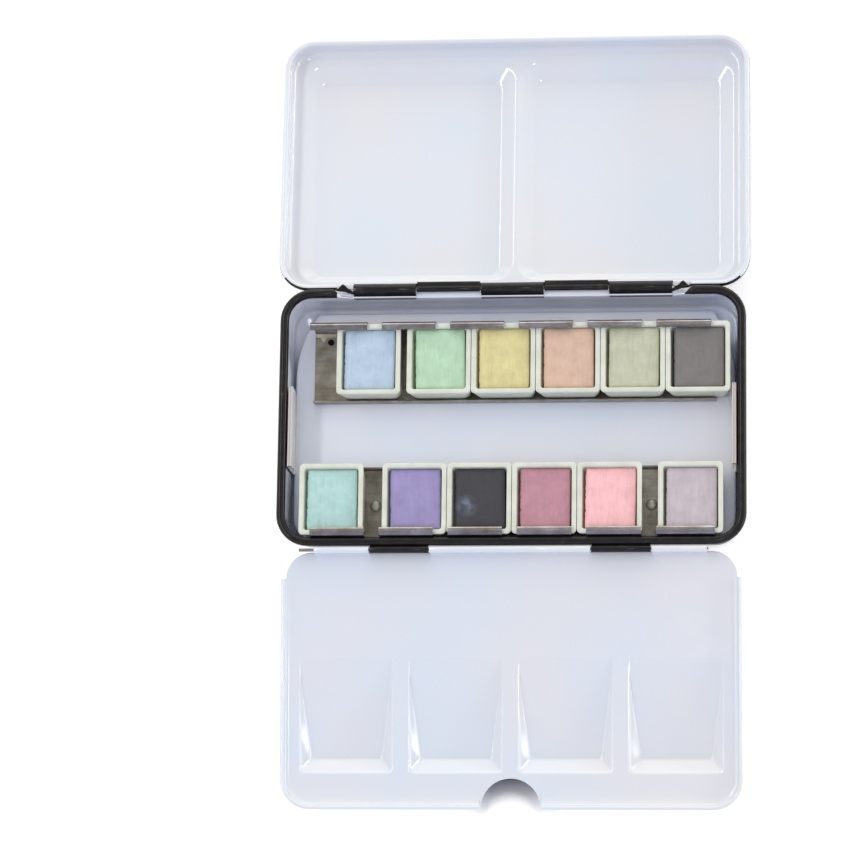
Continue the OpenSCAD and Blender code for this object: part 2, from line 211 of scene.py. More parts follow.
def tray_profile(fillet, centre, bead_r, thickness=SHEET, support=0.8, reach=None):
    """The skin of a tray's wall, from its floor over the rolled rim to its underside.

    x = 0 is the wall's inner face, z = 0 the top of the floor, and centre the height of
    the middle of the bead. A bead of half the sheet's thickness is a plain cut edge.
    The fillet at the foot rises by its own name and reaches in by reach, or by as much.
    The support is a flat run inside the fillet, which keeps its shading off the floor.
    """
    reach = reach or fillet
    quarter = [math.pi / 2 * k / BEND_STEPS for k in range(BEND_STEPS + 1)]
    points = [(-reach - support, 0)]
    points += [(reach * (math.sin(a) - 1), fillet * (1 - math.cos(a))) for a in quarter]
    points.append((0, centre - 0.5 * bead_r))
    end = -math.acos(max(-1, min(1, (thickness - bead_r) / bead_r)))
    for k in range(BEAD_STEPS + 1):
        a = math.pi + (end - math.pi) * k / BEAD_STEPS
        points.append((bead_r * (1 + math.cos(a)), centre + bead_r * math.sin(a)))
    points.append((thickness, fillet + 0.5))
    outer = fillet + thickness
    points += [((reach + thickness) * math.cos(a) - reach, fillet - outer * math.sin(a)) for a in quarter]
    points.append((-reach - support, -thickness))
    return points


FIRST_BEAD_POINT = BEND_STEPS + 3       # where the bead starts in the list of points above


# ---------------------------------------------------------------- mesh building

def ring(bm, outline, height):
    """Vertices over an outline, at one height or at one height for each point."""
    heights = height if isinstance(height, list) else [height] * len(outline)
    return [bm.verts.new((p.x, p.y, z)) for p, z in zip(outline, heights)]


def bridge(bm, a, b, material=0, closed=True):
    """Quads between two rings with the same number of points."""
    count = len(a)
    for i in range(count if closed else count - 1):
        k = (i + 1) % count
        face = bm.faces.new((a[i], a[k], b[k], b[i]))
        face.material_index = material


def loft(bm, rings, material=0):
    for a, b in zip(rings, rings[1:]):
        bridge(bm, a, b, material)


def fill(bm, outer, holes=(), material=0):
    """A flat face inside a ring, or flat triangles round the holes in it."""
    if not holes:
        bm.faces.new(outer).material_index = material
        return
    edges = []
    for loop in [outer, *holes]:
        for a, b in zip(loop, loop[1:] + loop[:1]):
            edges.append(bm.edges.get((a, b)) or bm.edges.new((a, b)))
    made = bmesh.ops.triangle_fill(bm, use_beauty=True, edges=edges)["geom"]
    for face in made:
        if isinstance(face, bmesh.types.BMFace):
            face.material_index = material


def skin(bm, outline, profiles, material_of):
    """Sweeps one profile per outline point round the outline; returns the first and last ring."""
    sides = outward(outline)
    rings = []
    for j in range(len(profiles[0])):
        rings.append([bm.verts.new((*(p + n * s[j][0]), s[j][1]))
                      for p, n, s in zip(outline, sides, profiles)])
    for j, (a, b) in enumerate(zip(rings, rings[1:])):
        for i in range(len(outline)):
            k = (i + 1) % len(outline)
            bm.faces.new((a[i], a[k], b[k], b[i])).material_index = material_of(i, j)
    return rings[0], rings[-1]


def extrude(bm, loop, start, end, place, material=0, chamfer=0.05):
    """Extrudes a closed loop between two distances, with small chamfers at both ends.

    place(p, distance) gives the point in space for a point p of the loop.
    """
    small = offset(loop, -chamfer)
    stations = [(small, start), (loop, start + chamfer), (loop, end - chamfer), (small, end)]
    rings = [[bm.verts.new(place(p, d)) for p in points] for points, d in stations]
    loft(bm, rings, material)
    fill(bm, rings[0], material=material)
    fill(bm, rings[-1], material=material)


def along_x(p, distance):
    """Places a section drawn in (y, z) at a distance along X."""
    return (distance, p.x, p.y)


def along_y(p, distance):
    """Places a section drawn in (x, z) at a distance along Y."""
    return (p.x, distance, p.y)


def lathe(bm, profile, place, steps=32, material=0, closed=False):
    """Turns a profile of (radius, height) points about an axis; place(u, v, h) gives the point."""
    rings = []
    for r, h in profile:
        turns = [2 * math.pi * k / steps for k in range(steps)]
        rings.append([bm.verts.new(place(r * math.cos(a), r * math.sin(a), h)) for a in turns])
    loft(bm, rings + rings[:1] if closed else rings, material)
    if not closed:
        fill(bm, rings[0], material=material)
        fill(bm, rings[-1], material=material)


def knuckle(bm, x0, x1, y, z, r_out, r_in=0.45, material=0):
    """One rolled knuckle: a tube along X with softly rounded ends."""
    soft = 0.12
    profile = [(r_in, x0), (r_out - soft, x0), (r_out - soft * 0.3, x0 + soft * 0.3), (r_out, x0 + soft),
               (r_out, x1 - soft), (r_out - soft * 0.3, x1 - soft * 0.3), (r_out - soft, x1), (r_in, x1)]
    lathe(bm, profile, lambda u, v, h: (h, y + u, z + v), material=material, closed=True)


def make_piece(name, bm, materials, body, stands_for=(), matrix=None, sharp_deg=38):
    """Turns a mesh drawn in millimetres into a smooth-shaded object that rides on a body."""
    if matrix is not None:
        bm.transform(matrix)
    bm.transform(Matrix.Scale(MM, 4))
    bmesh.ops.recalc_face_normals(bm, faces=bm.faces)
    mesh = bpy.data.meshes.new(name)
    bm.to_mesh(mesh)
    bm.free()
    mesh.polygons.foreach_set("use_smooth", [True] * len(mesh.polygons))
    mesh.set_sharp_from_angle(angle=math.radians(sharp_deg))
    for material in materials:
        mesh.materials.append(material)
    obj = bpy.data.objects.new(name, mesh)
    bpy.context.scene.collection.objects.link(obj)
    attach(obj, body)
    if stands_for:
        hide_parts(*stands_for)
    return obj


# ---------------------------------------------------------------- materials

class Nodes:
    """A small helper that adds and links the shader nodes of a new material, or of a world."""

    def __init__(self, name, world=None):
        self.material = world or bpy.data.materials.new(name)
        self.material.use_nodes = True
        self.tree = self.material.node_tree
        self.shader = self.tree.nodes["Background" if world else "Principled BSDF"]
        self.coords = self.add("ShaderNodeTexCoord").outputs["Generated" if world else "Object"]

    def add(self, kind, **values):
        """A new node, with its settings and the values of its inputs by name."""
        node = self.tree.nodes.new(kind)
        for key, value in values.items():
            if hasattr(node, key):
                setattr(node, key, value)
            else:
                node.inputs[key.replace("_", " ")].default_value = value
        return node

    def link(self, source, target):
        self.tree.links.new(source, target)

    def set(self, **values):
        """Sets the shader's inputs, to plain values or to other nodes' outputs."""
        for key, value in values.items():
            self.feed(self.shader.inputs[key.replace("_", " ")], value)

    def feed(self, target, value):
        """Gives a socket a plain value or another node's output."""
        if isinstance(value, bpy.types.NodeSocket):
            self.link(value, target)
        else:
            target.default_value = value

    def noise(self, scale, detail=3.0, stretch=(1, 1, 1), roughness=0.5):
        """A noise texture whose scale is in waves per metre."""
        mapping = self.add("ShaderNodeMapping")
        mapping.inputs["Scale"].default_value = stretch
        self.link(self.coords, mapping.inputs["Vector"])
        texture = self.add("ShaderNodeTexNoise", Scale=scale, Detail=detail, Roughness=roughness)
        self.link(mapping.outputs["Vector"], texture.inputs["Vector"])
        return texture.outputs["Fac"]

    def ramp(self, source, stops):
        """A colour ramp given as (position, colour) stops."""
        node = self.add("ShaderNodeValToRGB")
        elements = node.color_ramp.elements
        while len(elements) < len(stops):
            elements.new(0.5)
        for element, (position, colour) in zip(elements, stops):
            element.position = position
            element.color = (*colour, 1)
        self.link(source, node.inputs["Fac"])
        return node.outputs["Color"]

    def range(self, source, low, high, from_low=0.3, from_high=0.7):
        """Carries a value from one range to another, and stops at the ends."""
        node = self.add("ShaderNodeMapRange", From_Min=from_low, From_Max=from_high, To_Min=low, To_Max=high)
        self.link(source, node.inputs["Value"])
        return node.outputs["Result"]

    def mix(self, a, b, factor=1.0, blend="MIX"):
        """Mixes two colours; each argument is a plain value or another node's output."""
        node = self.add("ShaderNodeMix", data_type="RGBA", blend_type=blend)
        for key, value in (("A", a), ("B", b), ("Factor", factor)):
            self.feed(node.inputs[key], value)
        return node.outputs["Result"]

    def product(self, a, b):
        """The product of two nodes' outputs."""
        node = self.add("ShaderNodeMath", operation="MULTIPLY")
        self.link(a, node.inputs[0])
        self.link(b, node.inputs[1])
        return node.outputs["Value"]

    def near(self, point, full, end):
        """1 up to one distance from a point, fading to 0 at another; all in millimetres."""
        away = self.add("ShaderNodeVectorMath", operation="DISTANCE")
        self.link(self.coords, away.inputs[0])
        away.inputs[1].default_value = point * MM
        return self.range(away.outputs["Value"], 1, 0, from_low=full * MM, from_high=end * MM)

    def bump(self, source, strength, distance, normal=None):
        node = self.add("ShaderNodeBump", Strength=strength, Distance=distance)
        self.link(source, node.inputs["Height"])
        if normal is not None:
            self.link(normal, node.inputs["Normal"])
        return node.outputs["Normal"]


def shade(colour, factor):
    """The colour made darker or brighter, and kept within range."""
    return tuple(min(1.0, c * factor) for c in colour)


def srgb(code):
    """Linear colour from a hex code such as d9cf97."""
    values = [int(code[i:i + 2], 16) / 255 for i in (0, 2, 4)]
    return tuple(v / 12.92 if v <= 0.04045 else ((v + 0.055) / 1.055) ** 2.4 for v in values)


def enamel(name, colour):
    """Glossy white enamel: slow colour drift, a faint orange-peel surface, and painted shade that turns it
    dark blue in narrow gaps.
    """
    n = Nodes(name)
    drift = n.noise(28, detail=2)
    red, green, blue = colour
    warm = (red * 1.03, green, blue * 0.97)
    cool = (red * 0.97, green, blue * 1.02)
    # Painted shade: where ambient occlusion finds a narrow gap or slot, the base colour is multiplied down to
    # a dark blue.
    gaps = n.add("ShaderNodeAmbientOcclusion", samples=4, Distance=7 * MM)
    painted_gap_shade = n.ramp(gaps.outputs["AO"], [(0.02, (0.25, 0.27, 0.38)), (0.15, (1, 1, 1))])
    peel = n.bump(n.noise(700, detail=1), 0.03, 0.0002)
    n.set(Base_Color=n.mix(n.ramp(drift, [(0.35, cool), (0.65, warm)]), painted_gap_shade, blend="MULTIPLY"),
          Roughness=n.range(n.noise(160, detail=4), 0.05, 0.12),
          Normal=n.bump(n.noise(50, detail=2), 0.04, 0.0008, normal=peel))
    n.set(IOR=1.5, Specular_IOR_Level=0.9, Coat_Weight=0.5, Coat_Roughness=0.04)
    return n.material


def black_lacquer():
    """Black lacquer, browner and duller where it is handled."""
    n = Nodes("black_lacquer")
    wear = n.noise(420, detail=5)
    browns = [(0.4, (0.010, 0.009, 0.009)), (0.62, (0.016, 0.013, 0.011)), (0.78, (0.036, 0.030, 0.024))]
    n.set(Base_Color=n.ramp(wear, browns), Roughness=n.range(n.noise(240, detail=4), 0.07, 0.16),
          Normal=n.bump(n.noise(1500, detail=2), 0.05, 0.0002))
    n.set(IOR=1.5, Specular_IOR_Level=0.27)
    return n.material


def shadowed_hole():
    """Painted shade for the inside of a punched hole: near-black and matt."""
    n = Nodes("shadowed_hole")
    n.set(Base_Color=n.ramp(n.noise(900), [(0.3, (0.006, 0.006, 0.005)), (0.7, (0.012, 0.011, 0.010))]))
    n.set(Roughness=0.9, Specular_IOR_Level=0.1)
    return n.material


def bare_steel(name="bare_steel", brightness=1.0, blue=1.0, gloss=(0.28, 0.5)):
    """Rolled steel strip: brush lines along X and cloudy staining, olive-brown or, with more blue, grey."""
    n = Nodes(name)
    lines = n.noise(900, detail=6, stretch=(0.05, 1, 1), roughness=0.7)
    stain = n.noise(190, detail=5, roughness=0.65)
    stains = [(0.3, (0.22, 0.19, 0.14)), (0.52, (0.34, 0.32, 0.27)), (0.75, (0.52, 0.50, 0.46))]
    tint = [(at, shade((r, g, b * blue), brightness)) for at, (r, g, b) in stains]
    streaks = n.ramp(lines, [(0.3, (0.55, 0.53, 0.5)), (0.6, (1.0, 1.0, 1.0))])
    n.set(Base_Color=n.mix(n.ramp(stain, tint), streaks, 0.75, blend="MULTIPLY"),
          Roughness=n.range(lines, *gloss), Normal=n.bump(lines, 0.25, 0.0001))
    n.set(Metallic=0.85, Anisotropic=0.5)
    return n.material


def rivet_metal():
    """Soft grey rivet metal, dull and a little tarnished."""
    n = Nodes("rivet_metal")
    greys = [(0.3, (0.46, 0.45, 0.38)), (0.7, (0.66, 0.65, 0.58))]
    n.set(Base_Color=n.ramp(n.noise(700, detail=4), greys),
          Roughness=n.range(n.noise(1500, detail=3), 0.35, 0.55), Metallic=0.7)
    return n.material


def pan_plastic():
    """Cream moulded plastic with a soft, slightly translucent skin."""
    n = Nodes("pan_plastic")
    n.set(Base_Color=n.ramp(n.noise(230, detail=4), [(0.3, srgb("d3d6c6")), (0.7, srgb("e2e4d6"))]),
          Roughness=n.range(n.noise(500, detail=3), 0.3, 0.45),
          Normal=n.bump(n.noise(1400, detail=3), 0.1, 0.0001))
    n.set(IOR=1.48, Subsurface_Weight=0.12, Subsurface_Scale=0.0008)
    return n.material


def dried_paint(name, colour, smudge=None):
    """A matt cake of dried paint: cloudy colour, fine scratches and a grainy surface.

    smudge is the middle, in millimetres, of a patch where pale binder shows on dark paint.
    """
    n = Nodes(name)
    clouds = n.noise(330, detail=5, roughness=0.6)
    scratches = n.noise(1300, detail=3, stretch=(1, 0.12, 1), roughness=0.7)
    tint = n.mix(n.ramp(clouds, [(0.3, shade(colour, 0.9)), (0.5, colour), (0.72, shade(colour, 1.1))]),
                 n.ramp(scratches, [(0.32, (0.8, 0.8, 0.8)), (0.5, (1, 1, 1))]), 0.5, blend="MULTIPLY")
    if smudge is not None:
        patchy = n.range(n.noise(520, detail=5), 0, 0.42, from_low=0.40, from_high=0.62)
        tint = n.mix(tint, (0.30, 0.38, 0.52, 1), n.product(n.near(smudge, 0.4, 3.2), patchy))
    grain = n.bump(n.noise(4200, detail=4), 0.35, 0.0001)
    n.set(Base_Color=tint, Roughness=n.range(clouds, 0.55, 0.8),
          Normal=n.bump(scratches, 0.3, 0.00012, normal=grain))
    return n.material


WHITE = enamel("white_enamel", srgb("e3e6eb"))
# A brighter, bluer copy of the white enamel for the tin and the insert: its blue cast is painted, the bluish
# light their insides take in shade.
SHADED_WHITE = enamel("tin_enamel_painted_blue_shade", srgb("ecf0fb"))
# A warm beige-grey copy of the enamel, for the insert's finger grips.
BEIGE_WHITE = enamel("beige_enamel", srgb("c6c1ba"))
BLACK = black_lacquer()
STEEL = bare_steel()
# A brighter copy of the steel: the painted highlight rods along the clips' edges, and the lanced tongue.
BRIGHT_STEEL = bare_steel("bright_steel", brightness=2.1)
# A darker, bluer copy of the rail steel for the clips: the blue is a painted reflection of the bluish light
# they face.
BLUE_SHEEN_CLIP_STEEL = bare_steel("clip_steel_painted_reflection", brightness=0.8, blue=1.2, gloss=(0.18, 0.32))
RIVET = rivet_metal()
SHADOW = shadowed_hole()
CREAM = pan_plastic()


# ---------------------------------------------------------------- the tin

def tin_wall_top(x):
    """Height of the back wall's cut edge: it drops from the rim's end to the hinge."""
    peak, foot = RIM_Z - 0.2, RIM_Z - 1.2
    if any(abs(x - c) <= TIN_KNUCKLE_HALF + 0.05 for c in TIN_KNUCKLES):
        return RIM_Z - 0.5
    away = (abs(x) - TIN_KNUCKLES[2] - TIN_KNUCKLE_HALF) / 3.2
    return foot + (peak - foot) * max(0.0, min(1.0, away))


def tin_shell():
    """The tin: walls with a rolled rim, the hinge flange at the back, and all of its knuckles."""
    bm = bmesh.new()
    rim_end, rim_start = HINGE_HALF - 1.2, HINGE_HALF + 0.8
    ends = [c + s * (TIN_KNUCKLE_HALF + g) for c in TIN_KNUCKLES for s in (-1, 1) for g in (0.04, 0.1)]
    ends += [s * x for s in (-1, 1) for x in (rim_end, rim_start, (rim_end + rim_start) / 2)]
    outline = rounded_box(-TIN_HW, TIN_HW, -TIN_HD, TIN_HD, TIN_R, back_stops=ends)
    profiles = []
    shares = []
    for p in outline:
        share = 1.0
        if p.y > TIN_HD - 0.01:
            share = max(0.0, min(1.0, (abs(p.x) - rim_end) / (rim_start - rim_end)))
        top = tin_wall_top(p.x)
        bead = SHEET / 2 + (RIM_R + 0.025 - SHEET / 2) * share
        centre = top + (RIM_Z - top) * share - SHEET
        profiles.append([(x, z + SHEET) for x, z in tray_profile(1.0, centre, bead)])
        shares.append(share)

    def paint(i, j):
        """White inside and over the plain edge at the hinge; black from the rolled rim outwards."""
        enamel_part = -1 if shares[i] > 0.4 else 0.6 * BEAD_STEPS
        return 1 if j >= FIRST_BEAD_POINT + enamel_part else 0

    top, under = skin(bm, outline, profiles, paint)
    fill(bm, top)
    fill(bm, under, material=1)
    flared_edge = bend([(TIN_HD + 0.2, back_axis.z - 2.6), (TIN_HD + 0.2, back_axis.z - 1.1),
                        (back_axis.y - 0.75, back_axis.z - 1.1)], 0.25)
    extrude(bm, strip(flared_edge, 0.36), -rim_end, rim_end, along_x)
    for x in TIN_KNUCKLES:
        x0, x1 = x - TIN_KNUCKLE_HALF, x + TIN_KNUCKLE_HALF
        knuckle(bm, x0, x1, back_axis.y, back_axis.z, 1.3, material=1)
        flange = bend([(TIN_HD + 0.2, back_axis.z - 2.5), (TIN_HD + 0.2, back_axis.z - 0.9),
                       (back_axis.y, back_axis.z - 0.9)], 0.3)
        extrude(bm, strip(flange, 0.46), x0 + 0.05, x1 - 0.05, along_x, material=1)
    for side in (-1, 1):
        x0, x1 = sorted((side * FRONT_KNUCKLE[0], side * FRONT_KNUCKLE[1]))
        knuckle(bm, x0, x1, front_axis.y, front_axis.z, 0.9, material=1)
        web = [Vector((front_axis.y + y, front_axis.z + z))
               for y, z in ((0.6, -0.75), (1.6, -0.7), (1.6, -0.3), (0.6, -0.3))]
        extrude(bm, web, x0 + 0.1, x1 - 0.1, along_x, material=1)
        hinge_gusset(bm, side)
    make_piece("tin_shell", bm, [SHADED_WHITE, BLACK], "base", ["base_tin"])


def hinge_gusset(bm, side):
    """The twisted end of the hinge flange, between the last knuckle and the rolled rim."""
    inner = TIN_KNUCKLES[2] + TIN_KNUCKLE_HALF
    corners = [(inner - 0.1, -1.3), (inner + 1.2, -0.85), (inner + 2.4, -0.45), (inner + 4.3, -0.2),
               (inner + 5.0, 0.15), (inner + 4.0, 0.45), (inner + 2.95, 1.5), (inner + 2.5, 1.4),
               (inner + 1.6, 0.5), (inner + 0.8, 0.0), (inner - 0.1, -0.6)]
    outline = [Vector((side * x, back_axis.y + y)) for x, y in corners][::side]
    low, high = back_axis.z - 0.6, back_axis.z + 0.2
    rings = [ring(bm, offset(outline, -0.06), low), ring(bm, outline, low + 0.08),
             ring(bm, outline, high - 0.08), ring(bm, offset(outline, -0.06), high)]
    loft(bm, rings, 1)
    fill(bm, rings[0], material=1)
    fill(bm, rings[-1], material=1)


# ---------------------------------------------------------------- wells pressed into a sheet

def well_steps(lip=0.12, foot=0.13, steps=5):
    """(share of the way in, share of the depth) pairs down a well's wall, rounded at both ends."""
    def curve(a, b, c):
        pairs = []
        for k in range(steps + 1):
            t = k / steps
            weights = ((1 - t) ** 2, 2 * t * (1 - t), t * t)
            pairs.append(tuple(sum(w * p[n] for w, p in zip(weights, (a, b, c))) for n in (0, 1)))
        return pairs

    slope = 1 / (1 - lip - foot)
    return (curve((0, 0), (lip, 0), (2 * lip, lip * slope))
            + curve((1 - 2 * foot, 1 - foot * slope), (1 - foot, 1), (1, 1)))


def press_well(bm, rim, foot, depths, start_z, material, holes, border):
    """Lofts a well from its rim outline to its foot outline and closes its floor.

    A flat border round the rim keeps the bend's shading off the sheet; the border's outer
    ring is added to the holes that the sheet leaves open.
    """
    rings = [ring(bm, offset(rim, border), start_z)]
    for inward, down in well_steps():
        outline = [a.lerp(b, inward) for a, b in zip(rim, foot)]
        rings.append(ring(bm, outline, [start_z - down * d for d in depths]))
    holes.append(rings[0])
    centre = sum(foot, Vector((0, 0))) / len(foot)
    inner = [centre.lerp(p, 0.9) for p in foot]
    # The floor slopes evenly, so a point drawn towards the centre takes the plane's own height.
    mean = sum(depths) / len(depths)
    floor = ring(bm, inner, [start_z - (mean + (d - mean) * 0.9) for d in depths])
    loft(bm, rings + [floor], material)
    fill(bm, floor, material=material)


# ---------------------------------------------------------------- the lid

def lid_shell():
    """The lid as a tray with its rim up; flipped into its closed place, then swung open."""
    bm = bmesh.new()
    stops = [s * (HINGE_HALF + d) for s in (-1, 1) for d in (-0.6, 0.2)]
    stops += [c + s * (LID_KNUCKLE_HALF + 0.1) for c in LID_KNUCKLES for s in (-1, 1)]
    outline = rounded_box(-LID_HW, LID_HW, LID_FRONT, LID_BACK, 6.4, back_stops=stops)
    profiles = []
    for p in outline:
        plain = p.y > LID_BACK - 0.01 and abs(p.x) < HINGE_HALF
        bead = SHEET / 2 if plain else LID_BEAD_R + 0.025
        profiles.append(tray_profile(2.0, LID_DEPTH - bead, bead, support=0.1))

    def paint(i, j):
        """White enamel inside; the lacquer comes furthest over the bead beside the hinge."""
        enamel_part = 0.34 if outline[i].y > LID_BACK - 2.5 else 0.46
        return 1 if j >= FIRST_BEAD_POINT + enamel_part * BEAD_STEPS else 0

    inner, outer = skin(bm, outline, profiles, paint)
    for surface, level, material in ((inner, 0.0, 0), (outer, -SHEET, 1)):
        holes = []
        grow = SHEET * 0.4 * material
        for side in (-1, 1):
            x0, x1 = sorted((side * LID_WELL_X[0], side * (LID_WELL_X[1] + grow * 0.5)))
            y0, y1 = LID_WELL_Y
            rim = rounded_box(x0, x1, y0, y1, LID_WELL_R)
            foot = rounded_box(x0 + LID_WELL_RUN - grow, x1 - LID_WELL_RUN + grow,
                               y0 + LID_WELL_FAR_RUN - grow, y1 - LID_WELL_NEAR_RUN + grow, LID_WELL_FLOOR_R)
            press_well(bm, rim, foot, [LID_WELL_DEPTH] * len(rim), level, material, holes, border=0.03)
        fill(bm, surface, holes, material)
    lid_top = LID_RIM_Z + LID_DEPTH
    flip = Matrix.Translation((0, 0, lid_top)) @ Matrix.Diagonal((1, 1, -1, 1))
    bm.transform(flip)
    for x in LID_KNUCKLES:
        x0, x1 = x - LID_KNUCKLE_HALF, x + LID_KNUCKLE_HALF
        knuckle(bm, x0, x1, back_axis.y, back_axis.z, 0.8, material=1)
        web = strip(bend([(LID_BACK + 0.2, LID_RIM_Z + 0.5), (LID_BACK + 0.2, back_axis.z - 0.05),
                          (back_axis.y - 0.55, back_axis.z - 0.05)], 0.3), 0.38)
        extrude(bm, web, x0 + 0.05, x1 - 0.05, along_x, material=1)
    ledge = strip(bend([(LID_BACK + 0.2, LID_RIM_Z + 0.8), (LID_BACK + 0.2, back_axis.z + 0.9),
                        (back_axis.y - 0.4, back_axis.z + 0.9)], 0.25), 0.36)
    outer_end = TIN_KNUCKLES[2] + TIN_KNUCKLE_HALF + 0.15
    for x0, x1 in ((-HINGE_HALF, -outer_end), (outer_end, HINGE_HALF)):
        extrude(bm, ledge, x0, x1, along_x)
    make_piece("lid_shell", bm, [WHITE, BLACK], "lid", ["lid"],
               matrix=swing_open("lid_hinge"))


# ---------------------------------------------------------------- the mixing flap

def flap_outline():
    """The flap's outline, and for each point whether the lip stands there.

    The sheet has round corners and a thumb notch in its far edge; the lip runs round
    three sides and stops short of the hinge and at the notch.
    """
    r, gap = 6.5, 0.45
    y0, y1 = FLAP_RISER, FLAP_FAR
    lip_y = y0 + r + 0.2
    notch_y = TIN_HD - 0.25 - NOTCH_DEPTH + NOTCH_R
    reach = math.asin((notch_y - y1) / NOTCH_R)
    edge_x = NOTCH_R * math.cos(reach)
    half = [(p, False) for p in arc(FLAP_HW - r, y0 + r, r, -90, 0)]
    half += [(Vector((FLAP_HW, lip_y - 0.05)), False), (Vector((FLAP_HW, lip_y)), True),
             (Vector((FLAP_HW, 0)), True)]
    half += [(p, True) for p in arc(FLAP_HW - r, y1 - r, r, 0, 90, steps=14)]
    half += [(Vector((edge_x + gap, y1)), True), (Vector((edge_x, y1)), False)]
    down = arc(0, notch_y, NOTCH_R, -math.degrees(reach), -90, steps=16)
    half += [(p, False) for p in down[1:]]
    other = [(Vector((-p.x, p.y)), lip) for p, lip in reversed(half[:-1])]
    return half + other


def plain_edge(profile):
    """The same run of points as a lip's profile, but laid flat as a rounded cut edge."""
    reach, edge = 0.35, SHEET / 2
    straight = FIRST_BEAD_POINT
    flat = []
    for j in range(straight):
        flat.append((-reach + (reach - edge) * j / straight, 0))
    for k in range(BEAD_STEPS + 1):
        a = math.pi / 2 - math.pi * k / BEAD_STEPS
        flat.append((edge * (math.cos(a) - 1), edge * (math.sin(a) - 1)))
    rest = len(profile) - len(flat)
    for j in range(1, rest + 1):
        flat.append((-edge - (reach - edge) * j / rest, -SHEET))
    return flat


def flap_sheet():
    """The flap, drawn as a tray with its lips up, turned over and hung on its hinge."""
    bm = bmesh.new()
    stations = flap_outline()
    outline = [p for p, _ in stations]
    profiles = []
    for (_, has_lip), side in zip(stations, outward(outline)):
        far = max(0.0, side.y) ** 2
        lip = tray_profile(1.0, FLAP_LIP - FLAP_BEAD_R, FLAP_BEAD_R, reach=1.0 + 3.2 * far)
        profiles.append(lip if has_lip else plain_edge(lip))
    top, under = skin(bm, outline, profiles, lambda i, j: 0)
    for surface, level, grow in ((top, 0.0, 0.0), (under, -SHEET, SHEET * 0.4)):
        holes = []
        for k in (-1.5, -0.5, 0.5, 1.5):
            rim, foot, depths = flap_well(k * FLAP_WELL_PITCH, grow)
            press_well(bm, rim, foot, depths, level, 0, holes, border=0.15)
        fill(bm, surface, holes)
    bm.transform(Matrix.Translation((0, 0, FLAP_TOP - SHEET)) @ Matrix.Diagonal((1, 1, -1, 1)))
    inner, outer = FRONT_KNUCKLE[0] - 0.2, FRONT_KNUCKLE[1] + 0.2
    for x0, x1 in ((-FRONT_OUTER_END, -outer), (-inner, inner), (outer, FRONT_OUTER_END)):
        knuckle(bm, x0, x1, front_axis.y, front_axis.z, 0.9)
        path = bend([(FLAP_RISER + 3, FLAP_TOP - 0.25), (FLAP_RISER + 0.2, FLAP_TOP - 0.25),
                     (FLAP_RISER + 0.2, front_axis.z + 0.1)], 0.6)
        extrude(bm, strip(path, 0.36), x0, x1, along_x)
    make_piece("flap_sheet", bm, [WHITE], "flap", ["mixing_flap"],
               matrix=swing_open("flap_hinge"))


def flap_well(x, grow):
    """Rim outline, foot outline and depths of one sloping well, whose side walls lean in as they deepen."""
    y0, y1 = FLAP_WELL_Y
    half, end_run, side_run, shallow = 12.0, 4.4, 2.9, 0.08
    near, far = y0 + 0.6, y1 - end_run + grow
    stops = [near + 1.3 + (far - near - 2.6) * k / 6 for k in range(7)]
    rim = rounded_box(x - half - grow / 2, x + half + grow / 2, y0, y1 + grow, 1.2, side_stops=stops)
    foot_box = rounded_box(x - half + 0.35, x + half - 0.35, near, far, 1.0, side_stops=stops)
    foot = []
    depths = []
    for p in foot_box:
        share = (p.y - near) / (y1 - end_run - near)
        lean_start = 0.24 if p.x < x else 0.12
        run = side_run * max(0.0, (share - lean_start) / (1 - lean_start))
        squeeze = 1 - max(0.0, run - grow) / (half - 0.35)
        foot.append(Vector((x + (p.x - x) * squeeze, p.y)))
        depths.append(shallow + (FLAP_WELL_DEPTH - shallow) * share)
    return rim, foot, depths


# ---------------------------------------------------------------- the lift-out insert

def insert_outline():
    """Round front corners and back corners cut by wide arcs."""
    hw, y0, y1 = plate_high.x - 0.5, plate_low.y, plate_high.y
    corner, shoulder = 6.0, 28.0
    cx, cy = hw - shoulder, y1 - 17
    reach = math.degrees(math.asin((y1 - cy) / shoulder))
    right = arc(hw - corner, y0 + corner, corner, -90, 0) + arc(cx, cy, shoulder, 0, reach, steps=16)
    return right + [Vector((-p.x, p.y)) for p in reversed(right)]


def insert_tray():
    """The insert: an inverted tray with a folded finger grip at each side."""
    bm = bmesh.new()
    soft, foot = 0.6, SHEET + 0.05 - PLATE_TOP
    quarter = [math.pi / 2 * k / BEND_STEPS for k in range(BEND_STEPS + 1)]
    profile = [(-soft - 0.8, 0)]
    profile += [(soft * (math.sin(a) - 1), soft * (math.cos(a) - 1)) for a in quarter]
    profile += [(0, foot + 0.1), (-0.1, foot), (-SHEET + 0.1, foot), (-SHEET, foot + 0.1)]
    inner = soft - SHEET
    profile += [(inner * math.cos(a) - soft, inner * math.sin(a) - soft) for a in quarter]
    profile.append((-soft - 0.8, -SHEET))
    profile = [(x, z + PLATE_TOP) for x, z in profile]
    outline = insert_outline()
    top, under = skin(bm, outline, [profile] * len(outline), lambda i, j: 0)
    fill(bm, top)
    fill(bm, under)
    for side in (-1, 1):
        outer = plate_high.x - SHEET / 2
        inner_x = outer - 0.85
        foot = bend([(side * (outer - 3), PLATE_TOP - 0.25), (side * outer, PLATE_TOP - 0.25),
                     (side * outer, plate_high.z - 1.2)], 0.8)
        crease = bend([(side * x, z) for x, z in fold_points(outer, inner_x, plate_high.z - 0.16)], 0.1, 3)
        extrude(bm, strip(foot[:-1] + crease, 0.3), *GRIP_Y, along_y, material=1)
    make_piece("insert_tray", bm, [SHADED_WHITE, BEIGE_WHITE], "insert", ["insert_plate"])


